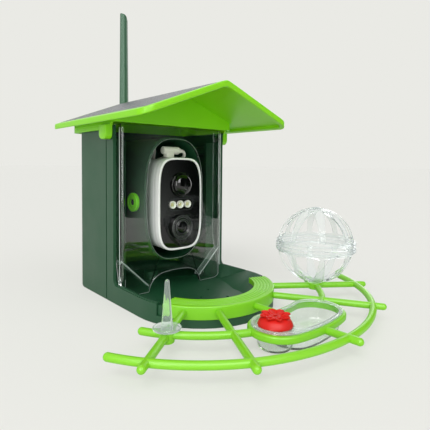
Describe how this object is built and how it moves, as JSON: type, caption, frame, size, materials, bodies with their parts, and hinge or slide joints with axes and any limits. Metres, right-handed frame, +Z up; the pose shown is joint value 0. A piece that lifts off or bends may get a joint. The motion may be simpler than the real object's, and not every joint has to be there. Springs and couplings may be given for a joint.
{
  "type": "bird feeder",
  "caption": "Seed house with a clear hopper front, lifting pitched roof with solar panel, tilting camera, folding antenna and a clip-on perch web with cup, spike and slotted ball.",
  "frame": {"origin": "on the flat base, below the front opening of the housing and midway across it", "axes": "+Z up, the front faces -Y, +X to the right of someone who looks at the back"},
  "size_m": [0.2903, 0.3354, 0.321],
  "materials": {
    "green_shell": "satin moulded green plastic",
    "lime_shell": "satin moulded lime plastic",
    "clear_plastic": "clear moulded plastic",
    "white_plastic": "white moulded plastic",
    "grey_plastic": "light grey moulded plastic",
    "black_gloss": "black gloss plastic",
    "red_plastic": "satin red plastic",
    "cream_plastic": "cream moulded plastic",
    "lead_jacket": "cream soft jacket",
    "black_rubber": "matt black rubber",
    "solar_cells": "dark solar laminate",
    "circuit_board": "green circuit board",
    "brass": "plated brass",
    "steel": "zinc plated steel",
    "cell_can": "wrapped cell"
  },
  "bodies": {
    "housing": {"rear_shell": "green_shell", "front_shell": "green_shell", "hopper_window": "clear_plastic", "camera_pod": "green_shell", "lead_grommet": "black_rubber", "charge_lead": "lead_jacket", "base_insert": "brass", "shell_screw_1": "steel", "shell_screw_2": "steel", "shell_screw_3": "steel", "shell_screw_4": "steel", "pod_screw_1": "steel", "pod_screw_2": "steel", "pod_screw_3": "steel", "pod_screw_4": "steel", "antenna_socket": "brass"},
    "roof": {"roof_shell": "lime_shell", "solar_panel": "solar_cells", "panel_junction": "black_rubber", "roof_pin_left": "steel", "roof_pin_right": "steel"},
    "camera": {"camera_bezel": "white_plastic", "camera_face": "black_gloss", "camera_mid_ring": "grey_plastic", "camera_rear_case": "grey_plastic", "motion_dome": "black_gloss", "led_lens_1": "clear_plastic", "led_lens_2": "clear_plastic", "led_lens_3": "clear_plastic", "lens_barrel": "black_gloss", "lens_glass": "black_gloss", "main_board": "circuit_board", "motion_sensor": "steel", "image_sensor": "black_gloss", "led_board": "circuit_board", "battery_cell_1": "cell_can", "battery_cell_2": "cell_can", "charge_plug": "cream_plastic"},
    "knob_left": {"tilt_knob_left": "lime_shell"},
    "knob_right": {"tilt_knob_right": "lime_shell"},
    "antenna_base": {"antenna_sleeve": "brass", "antenna_knuckle": "green_shell", "antenna_pin": "steel"},
    "antenna": {"antenna_blade": "green_shell"},
    "perch": {"perch_web": "lime_shell"},
    "cup": {"nectar_cup": "clear_plastic"},
    "flower": {"flower_cap": "red_plastic"},
    "spike": {"fruit_spike": "clear_plastic"},
    "ball_bottom": {"ball_lower": "clear_plastic"},
    "ball_top": {"ball_upper": "clear_plastic"}
  },
  "joints": [
    {"name": "roof_hinge", "type": "hinge", "parent": "housing", "child": "roof", "pos_m": [0, 0.0075, 0.163], "axis": [1, 0, 0], "range_deg": [0, 65]},
    {"name": "camera_tilt", "type": "hinge", "parent": "housing", "child": "camera", "pos_m": [0, 0.015, 0.0945], "axis": [1, 0, 0], "range_deg": [-10, 10]},
    {"name": "knob_left_turn", "type": "hinge", "parent": "housing", "child": "knob_left", "pos_m": [-0.04, 0.015, 0.0945], "axis": [-1, 0, 0], "continuous": true},
    {"name": "knob_right_turn", "type": "hinge", "parent": "housing", "child": "knob_right", "pos_m": [0.04, 0.015, 0.0945], "axis": [1, 0, 0], "continuous": true},
    {"name": "antenna_swivel", "type": "hinge", "parent": "housing", "child": "antenna_base", "pos_m": [0.0035, 0.09, 0.128], "axis": [0, 1, 0], "range_deg": [-90, 90]},
    {"name": "antenna_fold", "type": "hinge", "parent": "antenna_base", "child": "antenna", "pos_m": [0.0035, 0.113, 0.128], "axis": [-1, 0, 0], "range_deg": [0, 90]},
    {"name": "perch_lift", "type": "slide", "parent": "housing", "child": "perch", "axis": [0, 0, 1], "range_m": [0, 0.02]},
    {"name": "cup_lift", "type": "slide", "parent": "perch", "child": "cup", "axis": [0, 0, 1], "range_m": [0, 0.02]},
    {"name": "flower_lift", "type": "slide", "parent": "cup", "child": "flower", "axis": [0, 0, 1], "range_m": [0, 0.02]},
    {"name": "spike_lift", "type": "slide", "parent": "perch", "child": "spike", "axis": [0, 0, 1], "range_m": [0, 0.02]},
    {"name": "ball_lift", "type": "slide", "parent": "perch", "child": "ball_bottom", "axis": [0, 0, 1], "range_m": [0, 0.02]},
    {"name": "ball_open", "type": "slide", "parent": "ball_bottom", "child": "ball_top", "axis": [0, 0, 1], "range_m": [0, 0.03]}
  ]
}
